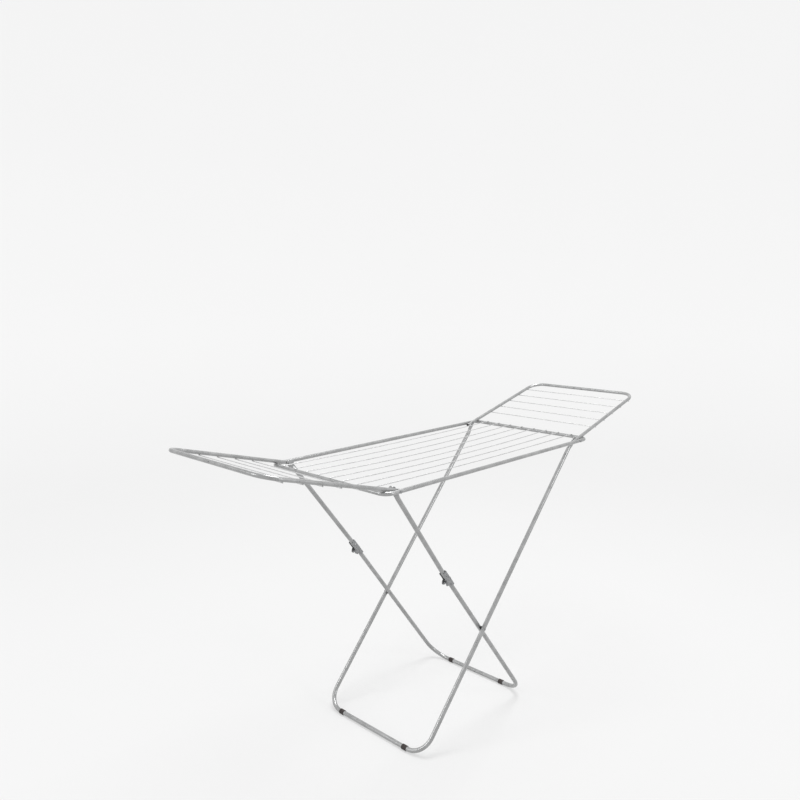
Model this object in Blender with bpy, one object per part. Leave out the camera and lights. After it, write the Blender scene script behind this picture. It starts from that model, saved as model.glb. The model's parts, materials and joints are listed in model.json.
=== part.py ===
# A winged clothes drying rack: a wired deck on two crossed leg frames, with a
# hinged wing at each end. Metres, +Z up. X runs along the deck, Y across it,
# the origin is on the floor under the middle of the deck.
import math

import bmesh
import bpy
from mathutils import Vector

# Clearances
GAP = 0.0003             # between faces that meet
HOLE_PLAY = 0.0003       # round a pin, on the radius

# Deck
DECK_LENGTH = 1.066      # end tube to end tube, centre lines
DECK_WIDTH = 0.540       # side tube to side tube, centre lines
DECK_HEIGHT = 0.925      # floor to the deck tubes' centre line
DECK_TUBE = 0.013
DECK_CORNER = 0.030      # bend radius on the centre line
WALL = 0.001             # of every tube
WIRE = 0.003
DECK_WIRES = 8
DECK_WIRE_MARGIN = 0.0675  # side tube to the first wire, centre lines
DECK_SAG = 0.0103        # of the middle wires, at mid-span
EDGE_SAG = 0.0058        # of the outermost wires
WIRE_OVERHANG = 0.0035   # past the centre line of the tube that it is welded to

# Wings
PIVOT_INSET = 0.054      # deck's end tube to the hinge pins
WING_LENGTH = 0.467      # hinge pins to the outer bar
WING_TUBE = 0.0125
WING_CORNER = 0.055
WING_TAPER = 0.0065      # how far each arm leans in by the outer bar
WING_TAIL = 0.018        # arm left inboard of the hinge pin
WING_WIRES = 5
WING_FIRST_WIRE = 0.144  # from the hinge pins
WING_LAST_WIRE = 0.055   # to the outer bar
PLUG_FLANGE = 0.003
PLUG_EDGE = 0.0018       # of the flange, before it rounds off
PLUG_FACE = 0.0044       # radius of the flange's flat face
PLUG_INSERT = 0.008
WASHER = 0.0022          # between side tube and wing arm
WASHER_RADIUS = 0.006

# Legs
LEG_TUBE = 0.015
LEG_FLAT = 0.005         # thickness of a leg's flattened top
FLAT_LENGTH = 0.016      # from the pin to where the flat starts to open out
FLAT_BLEND = 0.030
OUTER_FOOT_X = -0.346
INNER_FOOT_X = 0.211
OUTER_TAPER = 0.0070     # how far each outer leg leans in by the floor
OUTER_CORNER = 0.068
INNER_CORNER = 0.075
CROSSING_SPACER = 0.0024
SPACER_RADIUS = 0.0070
SLEEVE_WALL = 0.0015
SLEEVE_LENGTH = 0.020
SLEEVE_LIP = 0.0006
OUTER_SLEEVE_SETBACK = 0.0014  # from the end of the bend
INNER_SLEEVE_SETBACK = 0.0090

# Knees, where the struts meet the inner leg frame
KNEE_DROP = 0.0055       # tubes' underside to the knee pin
KNEE_RUN = 0.012         # strut's straight run into its bracket
EAR_RADIUS = 0.0075
SHEET = 0.0010
UPPER_BRACKET = 0.042
LOWER_BRACKET = 0.027
EAR_FOOT = 0.0125        # where the ear has run down to the cheek's edge
CHEEK_DROP = 0.0015      # cheek's edge below the tubes' underside
JOGGLE_START = 0.0115    # the upper bracket widens between these two
JOGGLE_END = 0.0090
UPPER_RIVET = 0.024      # from the knee, up the strut
LOWER_RIVET = 0.016      # from the knee, down the leg

# Fasteners
PIN_RADIUS = 0.0025
PIN_HEAD = 0.0050
HEAD_HEIGHT = 0.0018
RIVET_RADIUS = 0.0020
RIVET_HEAD = 0.0036
RIVET_HEIGHT = 0.0014
KNEE_HEAD_HEIGHT = 0.0010  # low, to pass inside the outer legs
HEAD_EDGE = 0.35         # shares of a domed head's height and radius
HEAD_SHOULDER = (0.72, 0.85)

TUBE_SIDES = 12
THIN_SIDES = 10
WIRE_SIDES = 6
PIN_SIDES = 10
SLEEVE_SIDES = 16
BEND_STEPS = 5
BLEND_STEPS = 4
BOW_STEPS = 10
FLAT_END = (0.89, 0.72, 0.39)  # stations round a flattened end, as shares of its half width
EAR_ROUND = (0.85, 0.60, 0.30)  # stations round an ear, as shares of its radius
EAR_TIP = 0.97
SHARP_DEG = 35
STEEPEST_WING_DEG = 45
HALVINGS = 40

# Worked out from the sizes above
PIVOT_X = DECK_LENGTH / 2 - PIVOT_INSET
SIDE_Y = DECK_WIDTH / 2
WING_WIRE_PITCH = (WING_LENGTH - WING_FIRST_WIRE - WING_LAST_WIRE) / (WING_WIRES - 1)
ARM_Y = SIDE_Y - DECK_TUBE / 2 - WASHER - 2 * GAP - WING_TUBE / 2
FLAT_Y = ARM_Y - WING_TUBE / 2 - GAP - LEG_FLAT / 2
OUTER_LEG_Y = FLAT_Y + LEG_FLAT / 2 - LEG_TUBE / 2
FLAT_HALF = (math.pi * (LEG_TUBE - LEG_FLAT) / 2 + LEG_FLAT) / 2  # the tube's girth, pressed flat
SLEEVE_RADIUS = LEG_TUBE / 2 + SLEEVE_WALL
LEG_DROP = DECK_HEIGHT - SLEEVE_RADIUS
KNEE_OFFSET = LEG_TUBE / 2 + KNEE_DROP
OUTER_LENGTH = math.hypot(PIVOT_X - OUTER_FOOT_X, LEG_DROP)
OUTER_ANGLE = math.atan2(LEG_DROP, PIVOT_X - OUTER_FOOT_X)
INNER_LENGTH = math.hypot(PIVOT_X + INNER_FOOT_X, LEG_DROP)
INNER_ANGLE = math.atan2(LEG_DROP, PIVOT_X + INNER_FOOT_X)
# the legs and the line between their pins make a triangle, with the crossing on top
APEX = math.pi - OUTER_ANGLE - INNER_ANGLE
OUTER_TO_CROSSING = 2 * PIVOT_X * math.sin(INNER_ANGLE) / math.sin(APEX)
INNER_TO_CROSSING = 2 * PIVOT_X * math.sin(OUTER_ANGLE) / math.sin(APEX)
# folded, the strut lies along the deck and the inner leg doubles back under it
FOLDED_REACH = math.sqrt(OUTER_TO_CROSSING ** 2 - (2 * KNEE_OFFSET) ** 2)
STRUT_LENGTH = (INNER_TO_CROSSING + 2 * PIVOT_X - FOLDED_REACH) / 2
CROSSING_Y = OUTER_LEG_Y - OUTER_TAPER * OUTER_TO_CROSSING / OUTER_LENGTH
INNER_LEG_Y = CROSSING_Y - LEG_TUBE - CROSSING_SPACER - 2 * GAP
OUTER_SLEEVE_Y = OUTER_LEG_Y - OUTER_TAPER - OUTER_CORNER - OUTER_SLEEVE_SETBACK - SLEEVE_LENGTH / 2
INNER_SLEEVE_Y = INNER_LEG_Y - INNER_CORNER - INNER_SLEEVE_SETBACK - SLEEVE_LENGTH / 2
CHEEK = LEG_TUBE / 2 + GAP
WIDE_CHEEK = CHEEK + SHEET + GAP
CHEEK_EDGE = LEG_TUBE / 2 + CHEEK_DROP


def clear_scene():
    for thing in list(bpy.data.objects):
        bpy.data.objects.remove(thing, do_unlink=True)


def material(name, colour, roughness, metallic):
    made = bpy.data.materials.new(name)
    made.use_nodes = True
    shader = made.node_tree.nodes["Principled BSDF"]
    shader.inputs["Base Color"].default_value = (*colour, 1.0)
    shader.inputs["Roughness"].default_value = roughness
    shader.inputs["Metallic"].default_value = metallic
    return made


def new_object(name, bm, finish, parent=None):
    bmesh.ops.recalc_face_normals(bm, faces=bm.faces)
    mesh = bpy.data.meshes.new(name)
    bm.to_mesh(mesh)
    bm.free()
    mesh.shade_smooth()
    mesh.set_sharp_from_angle(angle=math.radians(SHARP_DEG))
    mesh.materials.append(finish)
    made = bpy.data.objects.new(name, mesh)
    bpy.context.scene.collection.objects.link(made)
    made.parent = parent
    return made


def hinge(name, location, turn):
    empty = bpy.data.objects.new(name, None)
    empty.empty_display_size = 0.05
    empty.location = location
    empty.rotation_euler = turn
    bpy.context.scene.collection.objects.link(empty)
    return empty


def ring_of(bm, centre, across, normal, half_across, half_normal, sides, flat_at=0.0):
    """One ring of a tube, with the middle of a side at the angle flat_at."""
    ring = []
    for i in range(sides):
        turn = flat_at + 2 * math.pi * (i + 0.5) / sides
        offset = across * (half_across * math.cos(turn)) + normal * (half_normal * math.sin(turn))
        ring.append(bm.verts.new(centre + offset))
    return ring


def skin(bm, first, second):
    count = len(first)
    for i in range(count):
        bm.faces.new((first[i], first[(i + 1) % count], second[(i + 1) % count], second[i]))


def tube(name, stations, normal, wall, sides, finish, parent=None, closed=False):
    """A hollow tube along a flat path. A station is (point, tangent, half across, half along the normal)."""
    bm = bmesh.new()
    outer, inner = [], []
    for point, tangent, half_across, half_normal in stations:
        across = normal.cross(tangent).normalized()
        outer.append(ring_of(bm, point, across, normal, half_across, half_normal, sides))
        inner.append(ring_of(bm, point, across, normal, half_across - wall, half_normal - wall, sides))
    count = len(stations)
    for i in range(count if closed else count - 1):
        skin(bm, outer[i], outer[(i + 1) % count])
        skin(bm, inner[i], inner[(i + 1) % count])
    if not closed:
        skin(bm, outer[0], inner[0])
        skin(bm, outer[-1], inner[-1])
    return new_object(name, bm, finish, parent)


def bend(before, corner, after, radius, steps=BEND_STEPS):
    """Points and tangents round one corner of a path."""
    back = (before - corner).normalized()
    on = (after - corner).normalized()
    opening = back.angle(on)
    reach = radius / math.tan(opening / 2)
    centre = corner + (back + on).normalized() * (radius / math.sin(opening / 2))
    start = corner + back * reach - centre
    end = corner + on * reach - centre
    sweep = math.pi - opening
    placed = []
    for i in range(steps + 1):
        done = sweep * i / steps
        left = sweep - done
        point = (start * math.sin(left) + end * math.sin(done)) / math.sin(sweep)
        tangent = end * math.cos(done) - start * math.cos(left)
        placed.append((centre + point, tangent.normalized()))
    return placed


def mirrored(half):
    """The other half of a path that is the same on both sides of Y = 0."""
    whole = list(half)
    for point, tangent, half_across, half_normal in reversed(half):
        other = Vector((point.x, -point.y, point.z))
        heading = Vector((-tangent.x, tangent.y, -tangent.z))
        whole.append((other, heading, half_across, half_normal))
    return whole


def turned(name, outline, origin, axis, sides, finish, parent=None, flat_at=0.0):
    """A turned piece. The outline is (radius, place along the axis), capped where the radius is 0."""
    bm = bmesh.new()
    along = Vector(axis)
    side = Vector((0, 0, 1)) if abs(along.z) < 0.5 else Vector((1, 0, 0))
    other = along.cross(side)
    rings = []
    for radius, place in outline:
        centre = Vector(origin) + along * place
        if radius == 0:
            rings.append([bm.verts.new(centre)])
        else:
            rings.append(ring_of(bm, centre, side, other, radius, radius, sides, flat_at))
    pairs = list(zip(rings, rings[1:]))
    if len(rings[0]) > 1:
        pairs.append((rings[-1], rings[0]))
    for first, second in pairs:
        if len(first) == 1 or len(second) == 1:
            tip, rim = (first[0], second) if len(first) == 1 else (second[0], first)
            for i in range(sides):
                bm.faces.new((tip, rim[i], rim[(i + 1) % sides]))
        else:
            skin(bm, first, second)
    return new_object(name, bm, finish, parent)


def drill(target, name, centre, half, radius):
    """Cuts a round hole along Y, this far each way from its centre, in the frame of the target's parent."""
    cutter = turned(name, [(0, -half), (radius, -half), (radius, half), (0, half)], centre, (0, 1, 0),
                    PIN_SIDES, target.data.materials[0], target.parent)
    cutter.hide_render = True
    cutter.display_type = "WIRE"
    cut = target.modifiers.new(name, "BOOLEAN")
    cut.operation = "DIFFERENCE"
    cut.solver = "EXACT"
    cut.object = cutter


def wing_angle():
    """The tilt at which the arms come to rest on the rounded corners of the deck frame."""
    touch = (DECK_TUBE + WING_TUBE) / 2 + GAP
    centre_x = DECK_LENGTH / 2 - DECK_CORNER - PIVOT_X
    centre_y = SIDE_Y - DECK_CORNER

    def clearance(angle):
        nearest = touch
        for degree in range(91):
            turn = math.radians(degree)
            x = centre_x + DECK_CORNER * math.cos(turn)
            y = centre_y + DECK_CORNER * math.sin(turn)
            nearest = min(nearest, math.hypot(x * math.sin(angle), y - ARM_Y))
        return nearest

    low, high = 0.0, math.radians(STEEPEST_WING_DEG)
    for _ in range(HALVINGS):
        middle = (low + high) / 2
        if clearance(middle) < touch:
            low = middle
        else:
            high = middle
    return high


def both_ends(turned_round=False):
    """Front and back, each with its side of Y, in a frame that may be turned half round."""
    front = 1 if turned_round else -1
    return ("front", front), ("back", -front)


def make_deck(steel):
    corners = [Vector((sx * DECK_LENGTH / 2, sy * SIDE_Y, DECK_HEIGHT))
               for sx, sy in ((1, -1), (1, 1), (-1, 1), (-1, -1))]
    stations = []
    for i, corner in enumerate(corners):
        for point, tangent in bend(corners[i - 1], corner, corners[(i + 1) % 4], DECK_CORNER):
            stations.append((point, tangent, DECK_TUBE / 2, DECK_TUBE / 2))
    frame = tube("deck_frame", stations, Vector((0, 0, 1)), WALL, THIN_SIDES, steel, closed=True)
    for end, x in (("right", PIVOT_X), ("left", -PIVOT_X)):
        drill(frame, "hole_deck_" + end, (x, 0, DECK_HEIGHT), SIDE_Y + DECK_TUBE, PIN_RADIUS + HOLE_PLAY)
    level = DECK_HEIGHT + DECK_TUBE / 2 + GAP + WIRE / 2
    for i in range(DECK_WIRES):
        out = 2 * i / (DECK_WIRES - 1) - 1
        sag = DECK_SAG + (EDGE_SAG - DECK_SAG) * out * out
        y = out * (SIDE_Y - DECK_WIRE_MARGIN)
        bowed_wire(f"deck_wire_{i + 1}", y, level, sag, steel)


def bowed_wire(name, y, level, sag, finish):
    """A wire along X, level over the end tubes, whose middle hangs down by the sag."""
    bm = bmesh.new()
    half = DECK_LENGTH / 2
    places = [half * (2 * i / BOW_STEPS - 1) for i in range(BOW_STEPS + 1)]
    stations = [(x, level - sag * (1 - (x / half) ** 2)) for x in places]
    stations = [(-half - WIRE_OVERHANG, level), *stations, (half + WIRE_OVERHANG, level)]
    rings = []
    for x, z in stations:
        rings.append(ring_of(bm, Vector((x, y, z)), Vector((0, 1, 0)), Vector((0, 0, 1)),
                             WIRE / 2, WIRE / 2, WIRE_SIDES))
    for first, second in zip(rings, rings[1:]):
        skin(bm, first, second)
    bm.faces.new(rings[0])
    bm.faces.new(rings[-1])
    new_object(name, bm, finish)


def rod(half):
    return [(0, -half), (WIRE / 2, -half), (WIRE / 2, half), (0, half)]


def make_wing(side, parent, steel, plastic):
    """Flat in its own frame: X out along the arms from the hinge pins, Z up from the wires' other side."""
    lean = WING_TAPER / WING_LENGTH
    tail = Vector((-WING_TAIL, ARM_Y + lean * WING_TAIL, 0))
    corner = Vector((WING_LENGTH, ARM_Y - WING_TAPER, 0))
    beyond = Vector((WING_LENGTH, -corner.y, 0))
    heading = (corner - tail).normalized()
    round_tube = (WING_TUBE / 2, WING_TUBE / 2)
    half = [(tail, heading, *round_tube)]
    half += [(point, tangent, *round_tube) for point, tangent in bend(tail, corner, beyond, WING_CORNER)]
    frame = tube(side + "_wing_frame", mirrored(half), Vector((0, 0, 1)), WALL, THIN_SIDES, steel, parent)
    drill(frame, f"hole_{side}_wing", (0, 0, 0), SIDE_Y, PIN_RADIUS + HOLE_PLAY)
    level = -(WING_TUBE + WIRE) / 2 - GAP
    for i in range(WING_WIRES):
        x = WING_FIRST_WIRE + i * WING_WIRE_PITCH
        reach = ARM_Y - lean * x + WIRE_OVERHANG
        turned(f"{side}_wing_wire_{i + 1}", rod(reach), (x, 0, level), (0, 1, 0), WIRE_SIDES, steel, parent)
    bore = WING_TUBE / 2 - WALL - GAP
    outline = [(0, PLUG_INSERT), (bore, PLUG_INSERT), (bore, -GAP), (WING_TUBE / 2, -GAP),
               (WING_TUBE / 2, -GAP - PLUG_EDGE), (PLUG_FACE, -GAP - PLUG_FLANGE),
               (0, -GAP - PLUG_FLANGE)]
    for place, sign in both_ends(side == "left"):
        end = (tail.x, sign * tail.y, 0)
        axis = Vector((heading.x, sign * heading.y, 0))
        turned(f"{side}_wing_plug_{place}", outline, end, axis, PIN_SIDES, plastic, parent)


def leg_section(distance):
    """Half sizes and outward shift of a leg at this distance below its pin: flat, then opening to round."""
    blend = min(max((distance - FLAT_LENGTH) / FLAT_BLEND, 0.0), 1.0)
    blend = blend * blend * (3 - 2 * blend)
    half_across = LEG_FLAT / 2 + (LEG_TUBE - LEG_FLAT) / 2 * blend
    half_normal = FLAT_HALF + (LEG_TUBE / 2 - FLAT_HALF) * blend
    if distance < 0:
        half_normal *= math.sqrt(1 - (distance / FLAT_HALF) ** 2)
    return half_across, half_normal, LEG_TUBE / 2 - half_across


def leg_top(top, direction):
    """Stations down a flattened top, from its rounded end past the pin to where it is round."""
    placed = [-FLAT_HALF * share for share in FLAT_END] + [0.0]
    placed += [FLAT_LENGTH + FLAT_BLEND * i / BLEND_STEPS for i in range(BLEND_STEPS + 1)]
    stations = []
    for distance in placed:
        half_across, half_normal, shift = leg_section(distance)
        point = top + direction * distance + Vector((0, math.copysign(shift, top.y), 0))
        stations.append((point, direction, half_across, half_normal))
    return stations


def make_outer_leg(parent, steel, rubber, black):
    """Flat in its own frame: X down along the legs from the pins."""
    top = Vector((0, OUTER_LEG_Y, 0))
    corner = Vector((OUTER_LENGTH, OUTER_LEG_Y - OUTER_TAPER, 0))
    beyond = Vector((OUTER_LENGTH, -corner.y, 0))
    half = leg_top(top, (corner - top).normalized())
    half += [(point, tangent, LEG_TUBE / 2, LEG_TUBE / 2)
             for point, tangent in bend(top, corner, beyond, OUTER_CORNER)]
    frame = tube("outer_leg_frame", mirrored(half), Vector((0, 0, 1)), WALL, TUBE_SIDES, steel, parent)
    drill(frame, "hole_outer_leg_top", (0, 0, 0), SIDE_Y, PIN_RADIUS + HOLE_PLAY)
    drill(frame, "hole_outer_leg_crossing", (OUTER_TO_CROSSING, 0, 0), SIDE_Y, RIVET_RADIUS + HOLE_PLAY)
    foot_sleeves("outer", (OUTER_LENGTH, OUTER_SLEEVE_Y, 0), OUTER_ANGLE, both_ends(turned_round=True),
                 rubber, parent)
    outer_face = CROSSING_Y + LEG_TUBE / 2 + GAP
    spacer_face = CROSSING_Y - LEG_TUBE / 2 - GAP
    for place, sign in both_ends(turned_round=True):
        origin = (OUTER_TO_CROSSING, 0, 0)
        outline = [(RIVET_RADIUS + HOLE_PLAY, spacer_face), (SPACER_RADIUS, spacer_face),
                   (SPACER_RADIUS, spacer_face - CROSSING_SPACER),
                   (RIVET_RADIUS + HOLE_PLAY, spacer_face - CROSSING_SPACER)]
        turned(f"crossing_spacer_{place}", outline, origin, (0, sign, 0), PIN_SIDES, black, parent)
        outline = [(0, spacer_face - CROSSING_SPACER), (RIVET_RADIUS, spacer_face - CROSSING_SPACER)]
        outline += head(RIVET_RADIUS, RIVET_HEAD, outer_face, RIVET_HEIGHT)
        turned(f"crossing_rivet_{place}", outline, origin, (0, sign, 0), PIN_SIDES, steel, parent)


def head(shank, radius, face, height):
    """A domed head that stands on a face, as the end of an outline."""
    shoulder, rise = HEAD_SHOULDER
    return [(shank, face), (radius, face), (radius, face + height * HEAD_EDGE),
            (radius * shoulder, face + height * rise), (0, face + height)]


def both_heads(shank, radius, low, high, height):
    """A rivet's outline, with a domed head below the low face and above the high one."""
    lower = [(r, low + high - place) for r, place in head(shank, radius, high, height)]
    return lower[::-1] + head(shank, radius, high, height)


def foot_sleeves(name, centre, slope, ends, rubber, parent):
    """Sleeves on a foot bar of a frame that slopes this much, each standing on one of its sides."""
    corner = 1 / math.cos(math.pi / SLEEVE_SIDES)
    bore = (LEG_TUBE / 2 + GAP) * corner
    rim = (SLEEVE_RADIUS - SLEEVE_LIP) * corner
    skirt = SLEEVE_RADIUS * corner
    half = SLEEVE_LENGTH / 2
    outline = [(bore, -half), (rim, -half), (skirt, SLEEVE_LIP - half), (skirt, half - SLEEVE_LIP),
               (rim, half), (bore, half)]
    x, y, z = centre
    for place, sign in ends:
        turned(f"{name}_foot_sleeve_{place}", outline, (x, sign * y, z), (0, 1, 0), SLEEVE_SIDES,
               rubber, parent, math.pi - slope)


def make_struts(parent, steel):
    """Each in the strut hinge's frame: X down along the strut, Z away from the knee pin's side."""
    end = STRUT_LENGTH - GAP
    for place, sign in both_ends():
        top = Vector((0, sign * OUTER_LEG_Y, 0))
        foot = Vector((STRUT_LENGTH - UPPER_BRACKET - KNEE_RUN, sign * INNER_LEG_Y, 0))
        stations = leg_top(top, (foot - top).normalized())
        straight = Vector((1, 0, 0))
        for x in (foot.x, end):
            stations.append((Vector((x, foot.y, 0)), straight, LEG_TUBE / 2, LEG_TUBE / 2))
        strut = tube("strut_" + place, stations, Vector((0, 0, 1)), WALL, TUBE_SIDES, steel, parent)
        drill(strut, f"hole_strut_{place}", top, LEG_TUBE, PIN_RADIUS + HOLE_PLAY)
        centre = Vector((STRUT_LENGTH, sign * INNER_LEG_Y, 0))
        drill(strut, f"hole_strut_rivet_{place}", centre + Vector((-UPPER_RIVET, 0, 0)), LEG_TUBE,
              RIVET_RADIUS + HOLE_PLAY)
        knee_bracket("upper_knee_bracket_" + place, centre, -1, UPPER_BRACKET, UPPER_RIVET, True,
                     steel, parent)
        face = WIDE_CHEEK + SHEET + GAP
        pin = both_heads(PIN_RADIUS, PIN_HEAD, -face, face, KNEE_HEAD_HEIGHT)
        turned("knee_pin_" + place, pin, centre + Vector((0, 0, -KNEE_OFFSET)), (0, 1, 0),
               PIN_SIDES, steel, parent)
        face = CHEEK + SHEET + GAP
        rivet = both_heads(RIVET_RADIUS, RIVET_HEAD, -face, face, RIVET_HEIGHT)
        turned("upper_knee_rivet_" + place, rivet, centre + Vector((-UPPER_RIVET, 0, 0)), (0, 1, 0),
               PIN_SIDES, steel, parent)


def knee_bracket(name, centre, sign, length, rivet, wide_ears, steel, parent):
    """A pressed channel over a tube's end, with an ear at each side that hangs to the knee pin.

    Its stations run towards the knee and past it, to the end of the ears.
    """
    def edge(back):
        if back > EAR_FOOT:
            return CHEEK_EDGE
        widest = EAR_RADIUS * EAR_ROUND[0]
        if back > widest:
            start = KNEE_OFFSET + math.sqrt(EAR_RADIUS ** 2 - widest ** 2)
            part = (back - widest) / (EAR_FOOT - widest)
            return start + (CHEEK_EDGE - start) * part
        return KNEE_OFFSET + math.sqrt(EAR_RADIUS ** 2 - back ** 2)

    def half_width(back):
        if not wide_ears or back >= JOGGLE_START:
            return CHEEK
        part = min((JOGGLE_START - back) / (JOGGLE_START - JOGGLE_END), 1.0)
        return CHEEK + (WIDE_CHEEK - CHEEK) * part

    bm = bmesh.new()
    stations = [length, EAR_FOOT, JOGGLE_START, JOGGLE_END]
    stations += [EAR_RADIUS * share for share in EAR_ROUND]
    stations += [GAP, 0.0]
    stations += [-EAR_RADIUS * share for share in EAR_ROUND[::-1] + (EAR_TIP,)]
    rows = []
    for back in stations:
        width = half_width(back)
        top = KNEE_OFFSET - EAR_RADIUS
        if back < 0:
            top = KNEE_OFFSET - math.sqrt(EAR_RADIUS ** 2 - back ** 2)
        depths = [edge(abs(back) if back < 0 else back), top]
        if back > 0:
            depths.append(-CHEEK)
        x = centre.x + sign * back
        near = [bm.verts.new((x, centre.y + width, centre.z - depth)) for depth in depths]
        far = [bm.verts.new((x, centre.y - width, centre.z - depth)) for depth in depths]
        rows.append((near, far))
    for (near, far), (next_near, next_far) in zip(rows, rows[1:]):
        for i in range(len(next_near) - 1):
            bm.faces.new((near[i], near[i + 1], next_near[i + 1], next_near[i]))
            bm.faces.new((far[i + 1], far[i], next_far[i], next_far[i + 1]))
        if len(next_near) == 3:
            bm.faces.new((near[2], far[2], next_far[2], next_near[2]))
    if sign > 0:
        bmesh.ops.reverse_faces(bm, faces=bm.faces)
    made = sheet_object(name, bm, steel, parent)
    drill(made, "hole_pin_" + name, centre + Vector((0, 0, -KNEE_OFFSET)), LEG_TUBE, PIN_RADIUS + HOLE_PLAY)
    drill(made, "hole_rivet_" + name, centre + Vector((sign * rivet, 0, 0)), LEG_TUBE,
          RIVET_RADIUS + HOLE_PLAY)


def sheet_object(name, bm, finish, parent):
    """A folded sheet, given its thickness on the outside."""
    mesh = bpy.data.meshes.new(name)
    bm.to_mesh(mesh)
    bm.free()
    mesh.materials.append(finish)
    made = bpy.data.objects.new(name, mesh)
    bpy.context.scene.collection.objects.link(made)
    made.parent = parent
    thick = made.modifiers.new("sheet", "SOLIDIFY")
    thick.thickness = SHEET
    thick.offset = 1.0
    thick.use_even_offset = True
    return made


def make_inner_leg(parent, steel, rubber):
    """In the knee hinge's frame: the pin is the origin, X runs down the legs."""
    line = KNEE_OFFSET
    foot = INNER_LENGTH - STRUT_LENGTH
    top = Vector((GAP, INNER_LEG_Y, line))
    corner = Vector((foot, INNER_LEG_Y, line))
    beyond = Vector((foot, -INNER_LEG_Y, line))
    round_tube = (LEG_TUBE / 2, LEG_TUBE / 2)
    half = [(top, Vector((1, 0, 0)), *round_tube)]
    half += [(point, tangent, *round_tube) for point, tangent in bend(top, corner, beyond, INNER_CORNER)]
    frame = tube("inner_leg_frame", mirrored(half), Vector((0, 0, 1)), WALL, TUBE_SIDES, steel, parent)
    crossing = INNER_TO_CROSSING - STRUT_LENGTH
    drill(frame, "hole_inner_leg_crossing", (crossing, 0, line), SIDE_Y, RIVET_RADIUS + HOLE_PLAY)
    drill(frame, "hole_inner_leg_knee", (LOWER_RIVET, 0, line), SIDE_Y, RIVET_RADIUS + HOLE_PLAY)
    foot_sleeves("inner", (foot, INNER_SLEEVE_Y, line), INNER_ANGLE, both_ends(), rubber, parent)
    for place, sign in both_ends():
        centre = Vector((0, sign * INNER_LEG_Y, line))
        knee_bracket("lower_knee_bracket_" + place, centre, 1, LOWER_BRACKET, LOWER_RIVET, False,
                     steel, parent)
        face = CHEEK + SHEET + GAP
        rivet = both_heads(RIVET_RADIUS, RIVET_HEAD, -face, face, RIVET_HEIGHT)
        turned("lower_knee_rivet_" + place, rivet, centre + Vector((LOWER_RIVET, 0, 0)), (0, 1, 0),
               PIN_SIDES, steel, parent)
        inner_face = LEG_TUBE / 2 + GAP
        tail = [(0, -LEG_TUBE / 2), (RIVET_RADIUS, -LEG_TUBE / 2)]
        tail += head(RIVET_RADIUS, RIVET_HEAD, inner_face, RIVET_HEIGHT)
        turned("crossing_tail_" + place, tail, (crossing, sign * INNER_LEG_Y, line), (0, -sign, 0),
               PIN_SIDES, steel, parent)


def make_pivots(steel, plastic):
    """Each pin joins side tube, wing arm and leg; a washer keeps the arm off the side tube."""
    outer_face = SIDE_Y + DECK_TUBE / 2 + GAP
    inner_face = FLAT_Y - LEG_FLAT / 2 - GAP
    washer_face = SIDE_Y - DECK_TUBE / 2 - GAP
    bore = PIN_RADIUS + HOLE_PLAY
    for end, x in (("right", PIVOT_X), ("left", -PIVOT_X)):
        for place, sign in both_ends():
            origin = (x, 0, DECK_HEIGHT)
            pin = both_heads(PIN_RADIUS, PIN_HEAD, inner_face, outer_face, HEAD_HEIGHT)
            turned(f"pivot_pin_{end}_{place}", pin, origin, (0, sign, 0), PIN_SIDES, steel)
            washer = [(bore, washer_face), (WASHER_RADIUS, washer_face),
                      (WASHER_RADIUS, washer_face - WASHER), (bore, washer_face - WASHER)]
            turned(f"pivot_washer_{end}_{place}", washer, origin, (0, sign, 0), PIN_SIDES, plastic)


def main():
    clear_scene()
    steel = material("silver_paint", (0.50, 0.51, 0.51), 0.38, 0.55)
    plastic = material("black_plastic", (0.015, 0.015, 0.017), 0.45, 0.0)
    rubber = material("dark_rubber", (0.045, 0.035, 0.035), 0.75, 0.0)
    make_deck(steel)
    tilt = wing_angle()
    right = hinge("right_wing_hinge", (PIVOT_X, 0, DECK_HEIGHT), (0, -tilt, 0))
    left = hinge("left_wing_hinge", (-PIVOT_X, 0, DECK_HEIGHT), (0, -tilt, math.pi))
    make_wing("right", right, steel, plastic)
    make_wing("left", left, steel, plastic)
    outer = hinge("outer_leg_hinge", (PIVOT_X, 0, DECK_HEIGHT), (0, OUTER_ANGLE, math.pi))
    make_outer_leg(outer, steel, rubber, plastic)
    struts = hinge("strut_hinge", (-PIVOT_X, 0, DECK_HEIGHT), (0, INNER_ANGLE, 0))
    make_struts(struts, steel)
    knee_x = (-PIVOT_X + STRUT_LENGTH * math.cos(INNER_ANGLE) - KNEE_OFFSET * math.sin(INNER_ANGLE))
    knee_z = (DECK_HEIGHT - STRUT_LENGTH * math.sin(INNER_ANGLE) - KNEE_OFFSET * math.cos(INNER_ANGLE))
    knee = hinge("knee_hinge", (knee_x, 0, knee_z), (0, INNER_ANGLE, 0))
    make_inner_leg(knee, steel, rubber)
    make_pivots(steel, plastic)


main()
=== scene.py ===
import json
import math

import bpy
from mathutils import Matrix, Vector

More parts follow.
